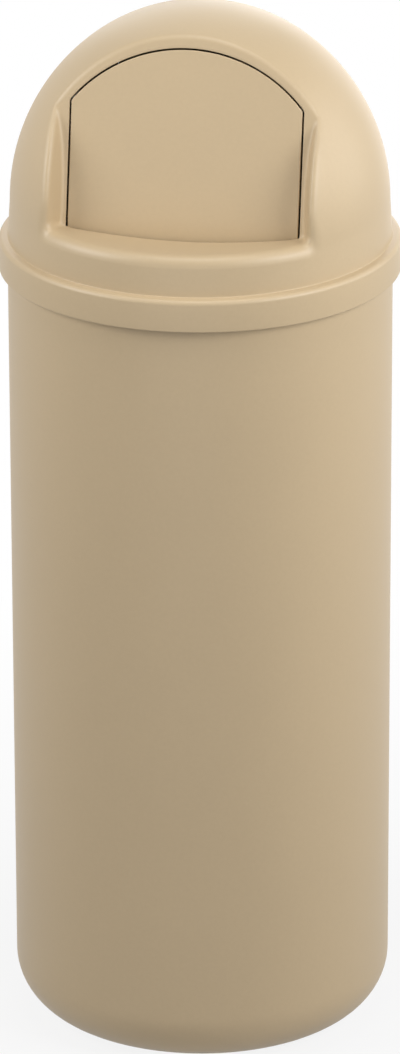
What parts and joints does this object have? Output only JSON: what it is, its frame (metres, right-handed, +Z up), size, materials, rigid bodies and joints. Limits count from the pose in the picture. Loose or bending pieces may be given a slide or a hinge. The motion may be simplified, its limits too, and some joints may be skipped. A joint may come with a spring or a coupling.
{
  "type": "trash can",
  "caption": "Tall round floor-standing waste bin with a lift-off domed top, a recessed sprung push door that swings inwards, and a liner with drop handles.",
  "frame": {"origin": "centre of the bin on the floor plane under its base", "axes": "+Z up, -Y out of the door's front, +X to the right of someone facing the door"},
  "size_m": [0.4, 0.3998, 1.0654],
  "materials": {
    "bin_plastic": "beige, fine moulded texture",
    "zinc_steel": "bright zinc plate",
    "spring_steel": "drawn spring wire",
    "nylon": "natural nylon",
    "black_rubber": "matt",
    "liner_plastic": "dark grey, smooth moulded",
    "grip_plastic": "black, satin"
  },
  "bodies": {
    "base": {"body_shell": "bin_plastic", "inner_liner": "liner_plastic", "bag_band": "black_rubber", "handle_ears_left": "zinc_steel", "handle_ears_right": "zinc_steel", "ear_rivets": "zinc_steel"},
    "dome": {"dome_top": "bin_plastic", "hinge_bracket_left": "zinc_steel", "hinge_bracket_right": "zinc_steel", "bracket_screws": "zinc_steel", "rod_bushing_left": "nylon", "rod_bushing_right": "nylon", "door_stop_pads": "black_rubber", "door_spring_left": "spring_steel", "door_spring_right": "spring_steel"},
    "door": {"push_door": "bin_plastic", "hinge_rod": "zinc_steel", "rod_spacer_left": "nylon", "rod_spacer_right": "nylon", "rod_push_nuts": "zinc_steel"},
    "left_handle": {"liner_handle_left": "zinc_steel", "handle_grip_left": "grip_plastic"},
    "right_handle": {"liner_handle_right": "zinc_steel", "handle_grip_right": "grip_plastic"}
  },
  "joints": [
    {"name": "dome_lift", "type": "slide", "parent": "base", "child": "dome", "axis": [0, 0, 1], "range_m": [0, 0.15]},
    {"name": "door_hinge", "type": "hinge", "parent": "dome", "child": "door", "pos_m": [0, -0.05964, 0.98828], "axis": [1, 0, 0], "range_deg": [0, 65], "stiffness_Nm_per_rad": 0.3, "springref_deg": -34.38, "deforming": ["door_spring_left", "door_spring_right"]},
    {"name": "left_handle_fold", "type": "hinge", "parent": "base", "child": "left_handle", "pos_m": [-0.152, 0, 0.766], "axis": [0, -1, 0], "range_deg": [0, 165]},
    {"name": "right_handle_fold", "type": "hinge", "parent": "base", "child": "right_handle", "pos_m": [0.152, 0, 0.766], "axis": [0, 1, 0], "range_deg": [0, 165]}
  ]
}
